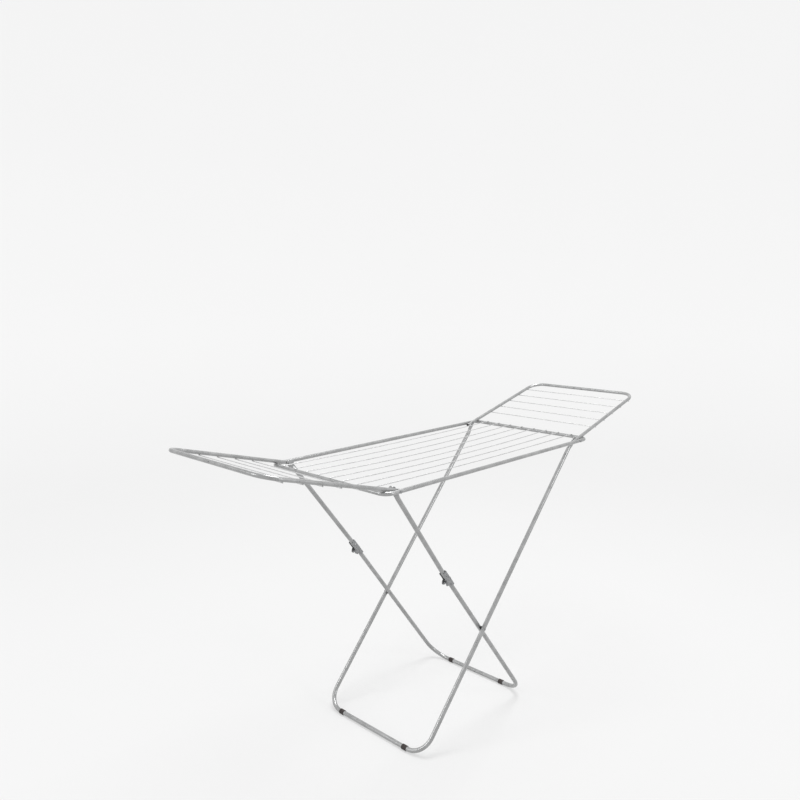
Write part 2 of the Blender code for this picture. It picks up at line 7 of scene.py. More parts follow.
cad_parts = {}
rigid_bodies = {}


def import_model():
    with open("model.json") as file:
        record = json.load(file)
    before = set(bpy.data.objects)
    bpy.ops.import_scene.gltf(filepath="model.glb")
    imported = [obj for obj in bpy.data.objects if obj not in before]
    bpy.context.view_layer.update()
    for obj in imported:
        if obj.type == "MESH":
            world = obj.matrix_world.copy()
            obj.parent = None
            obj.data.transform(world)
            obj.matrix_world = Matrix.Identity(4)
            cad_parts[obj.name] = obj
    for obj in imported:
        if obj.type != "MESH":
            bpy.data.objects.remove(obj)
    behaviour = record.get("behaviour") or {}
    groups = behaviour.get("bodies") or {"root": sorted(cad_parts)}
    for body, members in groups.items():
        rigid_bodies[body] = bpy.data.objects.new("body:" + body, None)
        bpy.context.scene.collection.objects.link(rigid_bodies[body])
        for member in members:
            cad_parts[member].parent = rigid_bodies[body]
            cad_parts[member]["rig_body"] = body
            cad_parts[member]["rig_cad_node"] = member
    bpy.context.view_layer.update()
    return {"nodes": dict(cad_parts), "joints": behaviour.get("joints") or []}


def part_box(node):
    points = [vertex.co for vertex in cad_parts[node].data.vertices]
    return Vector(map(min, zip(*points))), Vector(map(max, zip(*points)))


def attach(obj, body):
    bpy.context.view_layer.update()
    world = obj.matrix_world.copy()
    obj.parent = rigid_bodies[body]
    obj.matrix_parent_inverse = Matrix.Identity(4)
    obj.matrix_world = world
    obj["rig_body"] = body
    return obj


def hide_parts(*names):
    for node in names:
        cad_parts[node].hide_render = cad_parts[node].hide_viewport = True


# A winged clothes drying rack: a wired deck on two crossed leg frames, with a wing at each end.
# Frames are modelled flat at the origin and then laid in their place; X runs along the rack.
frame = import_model()
hinges = {joint["name"]: Vector(joint["pos_m"]) for joint in frame["joints"]}
print("frame loaded:", len(frame["nodes"]), "nodes")


# Working in edit mode

closeEnough = {"merge": 1e-6, "seam": 1e-4, "cut": 1e-5, "ring": 0.0002, "end": 0.001, "squareOn": 0.9}


def letGo():
    if bpy.context.mode != "OBJECT":
        bpy.ops.object.mode_set(mode="OBJECT")
    bpy.ops.object.select_all(action="DESELECT")


def takeUp(piece):
    letGo()
    piece.select_set(True)
    bpy.context.view_layer.objects.active = piece


def pickPoints(piece, wanted):  # leaves the piece in edit mode with these points selected
    takeUp(piece)
    bpy.ops.object.mode_set(mode="EDIT")
    bpy.ops.mesh.select_mode(type="VERT")
    bpy.ops.mesh.select_all(action="DESELECT")
    bpy.ops.object.mode_set(mode="OBJECT")
    for point in piece.data.vertices:
        point.select = wanted(point.co)
    bpy.ops.object.mode_set(mode="EDIT")


def pickFaces(piece, wanted):
    takeUp(piece)
    bpy.ops.object.mode_set(mode="EDIT")
    bpy.ops.mesh.select_mode(type="FACE")
    bpy.ops.mesh.select_all(action="DESELECT")
    bpy.ops.object.mode_set(mode="OBJECT")
    for face in piece.data.polygons:
        face.select = wanted(face)
    bpy.ops.object.mode_set(mode="EDIT")


def pushOut(move):
    bpy.ops.mesh.extrude_region_move(TRANSFORM_OT_translate={"value": move})


def smoothOff(piece, sharpest=35):  # merges doubles, turns the faces outwards and shades them
    takeUp(piece)
    bpy.ops.object.mode_set(mode="EDIT")
    bpy.ops.mesh.select_all(action="SELECT")
    bpy.ops.mesh.remove_doubles(threshold=closeEnough["merge"])
    bpy.ops.mesh.normals_make_consistent(inside=False)
    bpy.ops.object.mode_set(mode="OBJECT")
    bpy.ops.object.shade_smooth_by_angle(angle=math.radians(sharpest))


def applied(piece, kind, **settings):
    takeUp(piece)
    modifier = piece.modifiers.new(kind.lower(), kind)
    for key, value in settings.items():
        setattr(modifier, key, value)
    bpy.ops.object.modifier_apply(modifier=modifier.name)


def disc(name, place, heading, radius, sides):  # a round face across the way it will be pushed
    letGo()
    bpy.ops.mesh.primitive_circle_add(vertices=sides, radius=radius, fill_type="NGON", location=place,
                                      rotation=Vector(heading).to_track_quat("Z", "Y").to_euler())
    piece = bpy.context.active_object
    piece.name = name
    bpy.ops.object.transform_apply(location=True, rotation=True, scale=True)
    bpy.ops.object.mode_set(mode="EDIT")
    bpy.ops.mesh.select_all(action="SELECT")
    return piece


def bentTube(name, path, radius, bend, sides=32, bendSteps=14):  # straight runs with round bends between
    here = path[0]
    heading = (path[1] - path[0]).normalized()
    piece = disc(name, here, heading, radius, sides)
    for corner, after in zip(path[1:], path[2:]):
        onward = (after - corner).normalized()
        turn = heading.angle(onward)
        axis = heading.cross(onward).normalized()
        start = corner - heading * bend * math.tan(turn / 2)
        pushOut(start - here)
        bpy.ops.mesh.spin(steps=bendSteps, angle=turn, center=start + axis.cross(heading) * bend, axis=-axis)
        here = corner + onward * bend * math.tan(turn / 2)
        heading = onward
    pushOut(path[-1] - here)
    smoothOff(piece)
    return piece


def turnedPiece(name, place, axis, outline, sides=24):  # outline is (radius, distance along the axis)
    radius, along = outline[0]
    piece = disc(name, place + axis * along, axis, radius, sides)
    for nextRadius, nextAlong in outline[1:]:
        pushOut(axis * (nextAlong - along))
        grow = nextRadius / radius
        bpy.ops.transform.resize(value=(grow, grow, grow), center_override=place + axis * nextAlong)
        radius, along = nextRadius, nextAlong
    smoothOff(piece)
    return piece


def ringPiece(name, centre, bore, outer, length, edge, steps=48):  # a collar round a line along Y
    letGo()
    bpy.ops.mesh.primitive_plane_add(size=1, location=centre + Vector(((bore + outer) / 2, 0, 0)))
    piece = bpy.context.active_object
    piece.name = name
    piece.scale = (outer - bore, length, 1)
    bpy.ops.object.transform_apply(location=True, rotation=True, scale=True)
    pickPoints(piece, lambda co: co.x > centre.x + (bore + outer) / 2)
    bpy.ops.mesh.bevel(affect="VERTICES", offset=edge, segments=4)
    bpy.ops.mesh.select_all(action="SELECT")
    bpy.ops.mesh.delete(type="ONLY_FACE")
    bpy.ops.mesh.select_all(action="SELECT")
    bpy.ops.mesh.spin(steps=steps, angle=2 * math.pi, center=centre, axis=(0, 1, 0))
    smoothOff(piece)
    return piece


def wholeFrom(piece, axes):  # completes a half or a quarter across the middle
    pickFaces(piece, lambda face: any(abs(face.center[i]) < closeEnough["cut"]
                                      and abs(face.normal[i]) > closeEnough["squareOn"] for i in axes))
    bpy.ops.mesh.delete(type="FACE")
    applied(piece, "MIRROR", use_axis=[i in axes for i in range(3)], merge_threshold=closeEnough["seam"])
    smoothOff(piece)


def hollowEnd(piece, endX, inward, wall, depth):  # opens the closed end of a tube
    pickFaces(piece, lambda face: abs(face.center.x - endX) < closeEnough["end"]
              and abs(face.normal.x) > closeEnough["squareOn"])
    bpy.ops.mesh.inset(thickness=wall)
    pushOut(inward * depth)
    smoothOff(piece)


ventHole = {"radius": 0.0017, "depth": 0.004, "collar": 0.006, "clear": 0.001, "sides": 20}


def drillVent(piece, place, heading, radius):  # a blind vent hole in the side of a bar that runs along Y
    for side in (-1, 1):
        pickPoints(piece, lambda co: True)
        bpy.ops.mesh.bisect(plane_co=(0, side * ventHole["collar"], 0), plane_no=(0, 1, 0))
    start = place + heading * (radius + ventHole["clear"])
    cutter = disc("ventCutter", start, heading, ventHole["radius"], ventHole["sides"])
    pushOut(heading * -(ventHole["depth"] + ventHole["clear"]))
    smoothOff(cutter)
    applied(piece, "BOOLEAN", operation="DIFFERENCE", solver="EXACT", object=cutter)
    bpy.data.objects.remove(cutter)
    smoothOff(piece)


def lay(piece, origin, along):  # from flat at the origin to its place, with Y still across
    across = Vector((0, 1, 0))
    turn = Matrix((along, across, along.cross(across))).transposed().to_4x4()
    piece.matrix_world = Matrix.Translation(origin) @ turn
    takeUp(piece)
    bpy.ops.object.transform_apply(location=True, rotation=True, scale=True)


def copyOf(piece, name, scale=(1, 1, 1)):  # a copy with its own mesh
    made = piece.copy()
    made.data = piece.data.copy()
    made.name = name
    bpy.context.scene.collection.objects.link(made)
    made.scale = scale
    takeUp(made)
    bpy.ops.object.transform_apply(location=True, rotation=True, scale=True)
    if min(scale) < 0:
        smoothOff(made)
    return made


def joined(pieces):
    letGo()
    for piece in pieces:
        piece.select_set(True)
    bpy.context.view_layer.objects.active = pieces[0]
    bpy.ops.object.join()
    return pieces[0]


def settle(piece, slot, *nodes):  # gives a piece its finish, its body and the nodes it stands for
    piece.data.materials.clear()
    piece.data.materials.append(finishes[slot])
    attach(piece, frame["nodes"][nodes[0]]["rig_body"])
    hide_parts(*nodes)


def middle(node):
    low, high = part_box(node)
    return (low + high) / 2


# Finishes

class Signal:  # a socket that can be used in sums
    def __init__(self, finish, socket):
        self.finish = finish
        self.socket = socket

    def sum(self, operation, first, second):
        return self.finish.node("ShaderNodeMath", {"operation": operation}, {0: first, 1: second})

    def __add__(self, other):
        return self.sum("ADD", self, other)

    def __radd__(self, other):
        return self.sum("ADD", other, self)

    def __sub__(self, other):
        return self.sum("SUBTRACT", self, other)

    def __rsub__(self, other):
        return self.sum("SUBTRACT", other, self)

    def __mul__(self, other):
        return self.sum("MULTIPLY", self, other)

    def __rmul__(self, other):
        return self.sum("MULTIPLY", other, self)


class Finish:
    def __init__(self, name, metallic=0.0, specular=0.5, coat=0.0):
        self.material = bpy.data.materials.new(name)
        self.material.use_nodes = True
        self.tree = self.material.node_tree
        self.shader = self.tree.nodes["Principled BSDF"]
        self.shader.inputs["Metallic"].default_value = metallic
        self.shader.inputs["Specular IOR Level"].default_value = specular
        self.shader.inputs["Coat Weight"].default_value = coat
        self.place = self.node("ShaderNodeTexCoord", {}, {}, "Object")

    def node(self, kind, settings, values, output=0):
        made = self.tree.nodes.new(kind)
        for key, value in settings.items():
            if key == "stops":
                self.setStops(made.color_ramp, value)
            else:
                setattr(made, key, value)
        for key, value in values.items():
            self.connect(made.inputs[key], value)
        return Signal(self, made.outputs[output])

    def setStops(self, ramp, stops):
        while len(ramp.elements) < len(stops):
            ramp.elements.new(1.0)
        for element, (position, colour) in zip(ramp.elements, stops):
            element.position = position
            element.color = (*colour, 1.0)

    def connect(self, socket, value):
        if isinstance(value, Signal):
            self.tree.links.new(value.socket, socket)
        else:
            socket.default_value = value

    def feed(self, **values):
        for key, value in values.items():
            self.connect(self.shader.inputs[key.replace("_", " ")], value)

    def noise(self, scale, detail=3.0, roughness=0.5):
        return self.node("ShaderNodeTexNoise", {}, {"Vector": self.place, "Scale": scale, "Detail": detail,
                                                    "Roughness": roughness}, "Fac")

    def ramp(self, factor, stops):
        return self.node("ShaderNodeValToRGB", {"stops": stops}, {"Fac": factor}, "Color")

    def mask(self, factor, low, high):  # 0 below low, 1 above high
        return self.node("ShaderNodeMapRange", {}, {"Value": factor, "From Min": low, "From Max": high},
                         "Result")

    def mix(self, factor, first, second):
        return self.node("ShaderNodeMix", {"data_type": "RGBA"}, {0: factor, 6: first, 7: second}, 2)

    def bump(self, height, distance, strength):
        return self.node("ShaderNodeBump", {}, {"Height": height, "Distance": distance, "Strength": strength},
                         "Normal")


tubePaint = {"dark": (0.28, 0.283, 0.284), "light": (0.37, 0.373, 0.374), "scuff": (0.55, 0.55, 0.54),
             "metallic": 0.6, "roughness": 0.22, "coat": 0.2, "cloudScale": 38, "flakeScale": 1500,
             "scuffScale": 220, "peelScale": 420, "flakeShare": 0.45, "scuffShare": 0.35,
             "relief": 0.00006, "reliefShare": 0.35}


def makeTubePaint():
    finish = Finish("tubePaint", metallic=tubePaint["metallic"], coat=tubePaint["coat"])
    cloud = finish.noise(tubePaint["cloudScale"], 4.0, 0.6)
    flake = finish.noise(tubePaint["flakeScale"], 2.0, 0.7)
    scuff = finish.mask(finish.noise(tubePaint["scuffScale"], 5.0, 0.75), 0.66, 0.74)
    peel = finish.noise(tubePaint["peelScale"], 2.0)
    scuffColour = (*tubePaint["scuff"], 1)
    base = finish.ramp(cloud, [(0.30, tubePaint["dark"]), (0.70, tubePaint["light"])])
    speckled = finish.mix(finish.mask(flake, 0.52, 0.80) * tubePaint["flakeShare"], base, scuffColour)
    worn = finish.mix(scuff * tubePaint["scuffShare"], speckled, scuffColour)
    finish.feed(Base_Color=worn, Roughness=tubePaint["roughness"] + cloud * 0.12 + scuff * 0.1,
                Normal=finish.bump(flake + peel * 1.5, tubePaint["relief"], tubePaint["reliefShare"]))
    return finish.material


wirePaint = {"dark": (0.46, 0.463, 0.465), "light": (0.60, 0.60, 0.60), "metallic": 0.6, "roughness": 0.30,
             "coat": 0.1, "cloudScale": 90, "grainScale": 2200, "relief": 0.00004}


def makeWirePaint():
    finish = Finish("wirePaint", metallic=wirePaint["metallic"], coat=wirePaint["coat"])
    cloud = finish.noise(wirePaint["cloudScale"], 3.0, 0.6)
    grain = finish.noise(wirePaint["grainScale"], 2.0, 0.6)
    base = finish.ramp(cloud, [(0.30, wirePaint["dark"]), (0.72, wirePaint["light"])])
    finish.feed(Base_Color=base, Roughness=wirePaint["roughness"] + grain * 0.12,
                Normal=finish.bump(grain, wirePaint["relief"], 0.3))
    return finish.material


zincPlate = {"dark": (0.14, 0.143, 0.147), "light": (0.36, 0.365, 0.37), "metallic": 0.9, "roughness": 0.26,
             "relief": 0.00005, "bracketScale": 260, "rivetScale": 700}


def makeZincPlate(name, scale):
    finish = Finish(name, metallic=zincPlate["metallic"])
    stretched = finish.node("ShaderNodeMapping", {}, {"Vector": finish.place, "Scale": (1.0, 6.0, 1.0)},
                            "Vector")
    brushed = finish.node("ShaderNodeTexNoise", {}, {"Vector": stretched, "Scale": scale, "Detail": 4.0},
                          "Fac")
    spangle = finish.node("ShaderNodeTexVoronoi", {}, {"Vector": finish.place, "Scale": scale * 1.4},
                          "Distance")
    tone = brushed * 0.6 + spangle * 0.5
    finish.feed(Base_Color=finish.ramp(tone, [(0.25, zincPlate["dark"]), (0.70, zincPlate["light"])]),
                Roughness=zincPlate["roughness"] + brushed * 0.16,
                Normal=finish.bump(brushed, zincPlate["relief"], 0.3))
    return finish.material


blackMoulding = {"dark": (0.010, 0.010, 0.011), "light": (0.028, 0.028, 0.030), "roughness": 0.42}


def makeBlackMoulding():
    finish = Finish("blackMoulding", specular=0.45)
    texture = finish.noise(1800, 3.0, 0.6)
    haze = finish.noise(160, 3.0)
    finish.feed(Base_Color=finish.ramp(haze, [(0.3, blackMoulding["dark"]), (0.7, blackMoulding["light"])]),
                Roughness=blackMoulding["roughness"] + texture * 0.15,
                Normal=finish.bump(texture, 0.00006, 0.5))
    return finish.material


darkRubber = {"dark": (0.018, 0.014, 0.013), "light": (0.045, 0.036, 0.034), "dust": (0.13, 0.12, 0.115),
              "roughness": 0.62}


def makeDarkRubber():
    finish = Finish("darkRubber", specular=0.35)
    grain = finish.noise(1200, 4.0, 0.65)
    cloud = finish.noise(110, 3.0)
    dust = finish.mask(finish.noise(300, 5.0, 0.7), 0.58, 0.75)
    base = finish.ramp(cloud, [(0.3, darkRubber["dark"]), (0.7, darkRubber["light"])])
    finish.feed(Base_Color=finish.mix(dust * 0.25, base, (*darkRubber["dust"], 1)),
                Roughness=darkRubber["roughness"] + dust * 0.2,
                Normal=finish.bump(grain, 0.00009, 0.5))
    return finish.material


finishes = {"tube": makeTubePaint(), "wire": makeWirePaint(),
            "bracket": makeZincPlate("stampedZinc", zincPlate["bracketScale"]),
            "fastener": makeZincPlate("rivetZinc", zincPlate["rivetScale"]),
            "black_plastic": makeBlackMoulding(), "rubber": makeDarkRubber()}
print("finishes made:", len(finishes))


# Deck: one closed loop of tube, with the wires welded on top of its end tubes

deckFrame = {"tube": 0.013, "bend": 0.030}
deckWire = {"count": 8, "wire": 0.003, "sides": 12, "steps": 40, "rounding": 0.0006, "endShare": 0.6,
            "bead": (0.0042, 0.0030, 0.0022), "lift": 0.0004}
weld = {"segments": 14, "rings": 8, "roughen": 0.00025, "uniform": 0.3}


def makeDeckFrame():
    low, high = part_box("deck_frame")
    radius = deckFrame["tube"] / 2
    height = (low.z + high.z) / 2
    path = [Vector((0, high.y - radius, height)), Vector((high.x - radius, high.y - radius, height)),
            Vector((high.x - radius, 0, height))]
    piece = bentTube("deckFrameTube", path, radius, deckFrame["bend"])
    wholeFrom(piece, (0, 1))
    settle(piece, "tube", "deck_frame")
    return high.x - radius


def weldBead(place, size, seed):  # the lump of weld between a wire and the tube under it
    letGo()
    bpy.ops.mesh.primitive_uv_sphere_add(segments=weld["segments"], ring_count=weld["rings"], radius=1,
                                         location=place)
    piece = bpy.context.active_object
    piece.scale = size
    bpy.ops.object.transform_apply(location=True, rotation=True, scale=True)
    bpy.ops.object.mode_set(mode="EDIT")
    bpy.ops.mesh.select_all(action="SELECT")
    bpy.ops.transform.vertex_random(offset=weld["roughen"], uniform=weld["uniform"], seed=seed)
    bpy.ops.object.mode_set(mode="OBJECT")
    bpy.ops.object.shade_smooth()
    return piece


def makeDeckWires(half):
    radius = deckWire["wire"] / 2
    endShare = deckWire["endShare"]
    beadDrop = radius - deckWire["lift"]
    for i in range(deckWire["count"]):
        node = f"deck_wire_{i + 1}"
        low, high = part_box(node)
        y = (low.y + high.y) / 2
        level = high.z - radius
        sag = high.z - low.z - deckWire["wire"]
        piece = disc(f"deckWire{i + 1}", Vector((low.x, y, level)), Vector((1, 0, 0)), radius * endShare,
                     deckWire["sides"])
        places = [(low.x + deckWire["rounding"], level)]
        for step in range(deckWire["steps"] + 1):
            share = 2 * step / deckWire["steps"] - 1
            places.append((share * half, level - sag * (1 - share * share)))
        places.append((high.x - deckWire["rounding"], level))
        places.append((high.x, level))
        x, z = low.x, level
        for count, (nextX, nextZ) in enumerate(places):
            pushOut(Vector((nextX - x, 0, nextZ - z)))
            x, z = nextX, nextZ
            grow = {0: 1 / endShare, len(places) - 1: endShare}.get(count)
            if grow:
                bpy.ops.transform.resize(value=(grow, grow, grow), center_override=(x, y, z))
        smoothOff(piece)
        beads = [weldBead(Vector((side * half, y, level - beadDrop)), deckWire["bead"], 2 * i + (side > 0))
                 for side in (-1, 1)]
        settle(joined([piece, *beads]), "wire", node)


deckHalf = makeDeckFrame()
makeDeckWires(deckHalf)
print("deck made")


# Wings: a U of tube each, pinned inside the deck, with wires across its underside and plugged arms

wing = {"tube": 0.0125, "bend": 0.055, "length": 0.467, "taper": 0.0065, "tail": 0.018, "wall": 0.001,
        "mouth": 0.012}
wingPlug = {"gap": 0.0003, "insert": 0.008, "flange": 0.003, "edge": 0.0006, "lead": 0.9, "straight": 0.5,
            "swell": 0.4, "round": 0.0022, "middle": 0.3, "steps": 7}
wingWire = {"count": 5, "wire": 0.003, "sides": 12, "rounding": 0.0006, "endShare": 0.6,
            "bead": (0.0022, 0.0034, 0.0013), "overhang": 0.0035, "firstSeed": 40}


def flipped(piece, name):  # the same piece on the left
    return copyOf(piece, name, scale=(-1, 1, 1))


def makeWings():
    hinge = hinges["right_wing_fold"]
    near = middle("right_wing_wire_1")
    far = middle(f"right_wing_wire_{wingWire['count']}")
    along = (far - near).normalized()
    radius = wing["tube"] / 2
    lean = wing["taper"] / wing["length"]
    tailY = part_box("right_wing_frame")[1].y - radius
    cornerY = tailY - lean * (wing["tail"] + wing["length"])
    tail = Vector((-wing["tail"], tailY, 0))
    corner = Vector((wing["length"], cornerY, 0))
    piece = bentTube("rightWingTube", [tail, corner, Vector((wing["length"], 0, 0))], radius, wing["bend"])
    heading = (corner - tail).normalized()
    hollowEnd(piece, -wing["tail"], heading, wing["wall"], wing["mouth"])
    wholeFrom(piece, (1,))
    for side in (-1, 1):
        drillVent(piece, Vector((wing["length"], 0, 0)), Vector((side, 0, 0)), radius)
    lay(piece, hinge, along)
    settle(flipped(piece, "leftWingTube"), "tube", "left_wing_frame")
    settle(piece, "tube", "right_wing_frame")
    makeWingPlugs(hinge, along, tail, heading, radius)
    for i in range(wingWire["count"]):
        makeWingWire(i + 1, along)


def makeWingPlugs(hinge, along, tail, heading, radius):
    bore = radius - wing["wall"]
    face = wingPlug["gap"] + wingPlug["flange"]
    straight = wingPlug["flange"] * wingPlug["straight"]
    outline = [(bore * wingPlug["lead"], -wingPlug["insert"]), (bore, -wingPlug["insert"] + wingPlug["edge"]),
               (bore, 0), (bore, wingPlug["gap"]), (radius, wingPlug["gap"]),
               (radius, wingPlug["gap"] + straight)]
    for step in range(1, wingPlug["steps"]):
        turn = math.pi / 2 * step / wingPlug["steps"]
        outline.append((radius - wingPlug["round"] * (1 - math.cos(turn)),
                        face - straight + wingPlug["flange"] * wingPlug["swell"] * math.sin(turn)))
    outline.append((radius * wingPlug["middle"], face))
    back = turnedPiece("rightWingPlugBack", tail, -heading, outline)
    lay(back, hinge, along)
    front = copyOf(back, "rightWingPlugFront", scale=(1, -1, 1))
    settle(flipped(back, "leftWingPlugBack"), "black_plastic", "left_wing_plug_back")
    settle(flipped(front, "leftWingPlugFront"), "black_plastic", "left_wing_plug_front")
    settle(back, "black_plastic", "right_wing_plug_back")
    settle(front, "black_plastic", "right_wing_plug_front")


def makeWingWire(number, along):
    node = f"right_wing_wire_{number}"
    low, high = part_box(node)
    centre = middle(node)
    radius = wingWire["wire"] / 2
    half = (high.y - low.y) / 2
    soft = wingWire["rounding"]
    tip = radius * wingWire["endShare"]
    outline = [(tip, -half), (radius, soft - half), (radius, half - soft), (tip, half)]
    piece = turnedPiece(f"rightWingWire{number}", centre, Vector((0, 1, 0)), outline, wingWire["sides"])
    up = along.cross(Vector((0, 1, 0)))
    beads = []
    for side in (-1, 1):
        place = centre + up * radius + Vector((0, side * (half - wingWire["overhang"]), 0))
        seed = wingWire["firstSeed"] + 2 * number + (side > 0)
        beads.append(weldBead(place, wingWire["bead"], seed))
    piece = joined([piece, *beads])
    settle(flipped(piece, f"leftWingWire{number}"), "wire", f"left_wing_wire_{number}")
    settle(piece, "wire", node)


makeWings()
print("wings made")


# Legs: the outer frame in one length, and the inner one as two struts above and a frame below

leg = {"tube": 0.015, "flat": 0.005, "flatLength": 0.016, "blend": 0.030, "wall": 0.001, "mouth": 0.025,
       "tipShare": 0.985, "tipRings": 7, "blendRings": 10}
outerLeg = {"bend": 0.068, "taper": 0.0070}
innerLeg = {"bend": 0.075, "gap": 0.0003}
strut = {"straight": 0.054, "bend": 0.10, "bendSteps": 4}


def pressedHalves(distance):  # how the tube's section changes down from its pressed top
    radius = leg["tube"] / 2
    broad = (math.pi * (leg["tube"] - leg["flat"]) / 2 + leg["flat"]) / 2
    share = min(max((distance - leg["flatLength"]) / leg["blend"], 0), 1)
    share = share * share * (3 - 2 * share)
    across = leg["flat"] / 2 + (radius - leg["flat"] / 2) * share
    normal = broad + (radius - broad) * share
    if distance < 0:
        normal *= math.sqrt(max(1 - (distance / broad) ** 2, 0))
    return across / radius, normal / radius, broad


def pressedTip():  # where the pressed top begins, up past its pin
    return -pressedHalves(0)[2] * leg["tipShare"]


def pressTop(piece, topY, lean):  # flattens the top of the leg, with its outer face in line
    broad = pressedHalves(0)[2]
    tipRings, blendRings = leg["tipRings"], leg["blendRings"]
    rings = [pressedTip()]
    rings += [-broad * math.cos(math.pi / 2 * step / tipRings) for step in range(1, tipRings + 1)]
    rings += [leg["flatLength"] * 0.5, leg["flatLength"]]
    rings += [leg["flatLength"] + leg["blend"] * step / blendRings for step in range(1, blendRings)]
    for distance in rings[1:]:
        pickPoints(piece, lambda co: True)
        bpy.ops.mesh.bisect(plane_co=(distance, 0, 0), plane_no=(1, 0, 0))
    for distance in rings:
        across, normal, _ = pressedHalves(distance)
        face = topY - lean * distance + leg["tube"] / 2
        pickPoints(piece, lambda co: abs(co.x - distance) < closeEnough["ring"])
        bpy.ops.transform.resize(value=(1, across, normal), center_override=(distance, face, 0))
    smoothOff(piece)


def makeOuterLeg():
    hinge = hinges["leg_fold"]
    foot = middle("outer_foot_sleeve_front")
    down = Vector((foot.x - hinge.x, 0, foot.z - hinge.z))
    length = down.length
    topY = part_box("outer_leg_frame")[1].y - leg["tube"] / 2
    lean = outerLeg["taper"] / length
    tip = pressedTip()
    path = [Vector((tip, topY - lean * tip, 0)), Vector((length, topY - outerLeg["taper"], 0)),
            Vector((length, 0, 0))]
    piece = bentTube("outerLegTube", path, leg["tube"] / 2, outerLeg["bend"])
    pressTop(piece, topY, lean)
    wholeFrom(piece, (1,))
    lay(piece, hinge, down.normalized())
    settle(piece, "tube", "outer_leg_frame")
    return topY


def makeInnerLegs(topY):
    hinge = hinges["strut_fold"]
    foot = middle("inner_foot_sleeve_front")
    down = Vector((foot.x - hinge.x, 0, foot.z - hinge.z))
    length = down.length
    down.normalize()
    kneeAt = (hinges["knee_fold"] - hinge).dot(down)
    radius = leg["tube"] / 2
    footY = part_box("inner_leg_frame")[1].y - radius
    gap = innerLeg["gap"]
    start = kneeAt - strut["straight"]
    lean = (topY - footY) / start
    tip = pressedTip()
    path = [Vector((tip, topY - lean * tip, 0)), Vector((start, footY, 0)), Vector((kneeAt - gap, footY, 0))]
    back = bentTube("strutBackTube", path, radius, strut["bend"], bendSteps=strut["bendSteps"])
    pressTop(back, topY, lean)
    hollowEnd(back, kneeAt - gap, Vector((-1, 0, 0)), leg["wall"], leg["mouth"])
    lay(back, hinge, down)
    settle(copyOf(back, "strutFrontTube", scale=(1, -1, 1)), "tube", "strut_front")
    settle(back, "tube", "strut_back")
    path = [Vector((kneeAt + gap, footY, 0)), Vector((length, footY, 0)), Vector((length, 0, 0))]
    piece = bentTube("innerLegTube", path, radius, innerLeg["bend"])
    hollowEnd(piece, kneeAt + gap, Vector((1, 0, 0)), leg["wall"], leg["mouth"])
    wholeFrom(piece, (1,))
    lay(piece, hinge, down)
    drillVent(piece, Vector((foot.x, 0, foot.z)), Vector((-1, 0, 0)), radius)
    settle(piece, "tube", "inner_leg_frame")


makeInnerLegs(makeOuterLeg())
print("legs made")


# Feet, spacers and washers

footSleeve = {"bore": 0.00755, "edge": 0.0008}
crossingSpacer = {"bore": 0.0023, "edge": 0.0005}
pivotWasher = {"bore": 0.0028, "edge": 0.0004}


def makeCollars():
    for frameName in ("outer", "inner"):
        makeCollar(f"{frameName}FootSleeve", f"{frameName}_foot_sleeve", footSleeve, "rubber")
    makeCollar("crossingSpacer", "crossing_spacer", crossingSpacer, "black_plastic")
    for end in ("right", "left"):
        makeCollar(f"{end}PivotWasher", f"pivot_washer_{end}", pivotWasher, "black_plastic")


def makeCollar(name, node, sizes, slot):
    low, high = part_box(node + "_back")
    piece = ringPiece(name + "Back", middle(node + "_back"), sizes["bore"], (high.z - low.z) / 2,
                      high.y - low.y, sizes["edge"])
    settle(copyOf(piece, name + "Front", scale=(1, -1, 1)), slot, node + "_front")
    settle(piece, slot, node + "_back")


makeCollars()
print("collars made")


# Rivets and pins: a shank with a domed head at one end or both

pivotPin = {"shank": 0.0025, "head": 0.0050, "height": 0.0018}
kneePin = {"shank": 0.0025, "head": 0.0050, "height": 0.0010}
kneeRivet = {"shank": 0.0020, "head": 0.0036, "height": 0.0014}
crossingRivet = {"shank": 0.0020, "head": 0.0036, "height": 0.0014}
rivetDome = {"brim": 0.25, "lip": 0.96, "lipRise": 0.4, "middle": 0.06, "steps": 7, "sides": 20}


def domeOutline(sizes, face):  # from the shank, over the head, to its middle
    brim = sizes["height"] * rivetDome["brim"]
    outline = [(sizes["shank"], face), (sizes["head"] * rivetDome["lip"], face),
               (sizes["head"], face + brim * rivetDome["lipRise"]), (sizes["head"], face + brim)]
    for step in range(1, rivetDome["steps"]):
        turn = math.pi / 2 * step / rivetDome["steps"]
        rise = (sizes["height"] - brim) * math.sin(turn)
        outline.append((sizes["head"] * math.cos(turn), face + brim + rise))
    outline.append((sizes["head"] * rivetDome["middle"], face + sizes["height"]))
    return outline


def makeRivet(name, node, sizes, bothEnds=True, outward=1):
    low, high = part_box(node + "_back")
    centre = middle(node + "_back")
    reach = (high.y - low.y) / 2
    top = domeOutline(sizes, reach - sizes["height"])
    if bothEnds:
        outline = [(radius, -along) for radius, along in reversed(top)] + top
    else:
        outline = [(sizes["shank"], -reach)] + top
    piece = turnedPiece(name + "Back", centre, Vector((0, outward, 0)), outline, rivetDome["sides"])
    settle(copyOf(piece, name + "Front", scale=(1, -1, 1)), "fastener", node + "_front")
    settle(piece, "fastener", node + "_back")


makeRivet("rightPivotPin", "pivot_pin_right", pivotPin)
makeRivet("leftPivotPin", "pivot_pin_left", pivotPin)
makeRivet("kneePin", "knee_pin", kneePin)
makeRivet("upperKneeRivet", "upper_knee_rivet", kneeRivet)
makeRivet("lowerKneeRivet", "lower_knee_rivet", kneeRivet)
makeRivet("crossingRivet", "crossing_rivet", crossingRivet, bothEnds=False)
makeRivet("crossingTail", "crossing_tail", crossingRivet, bothEnds=False, outward=-1)
print("rivets made")


# Knee brackets: the pressed channels with their sheet's edges rounded

kneeBracket = {"edge": 0.00022, "edgeSteps": 2, "sharpFrom": 40}


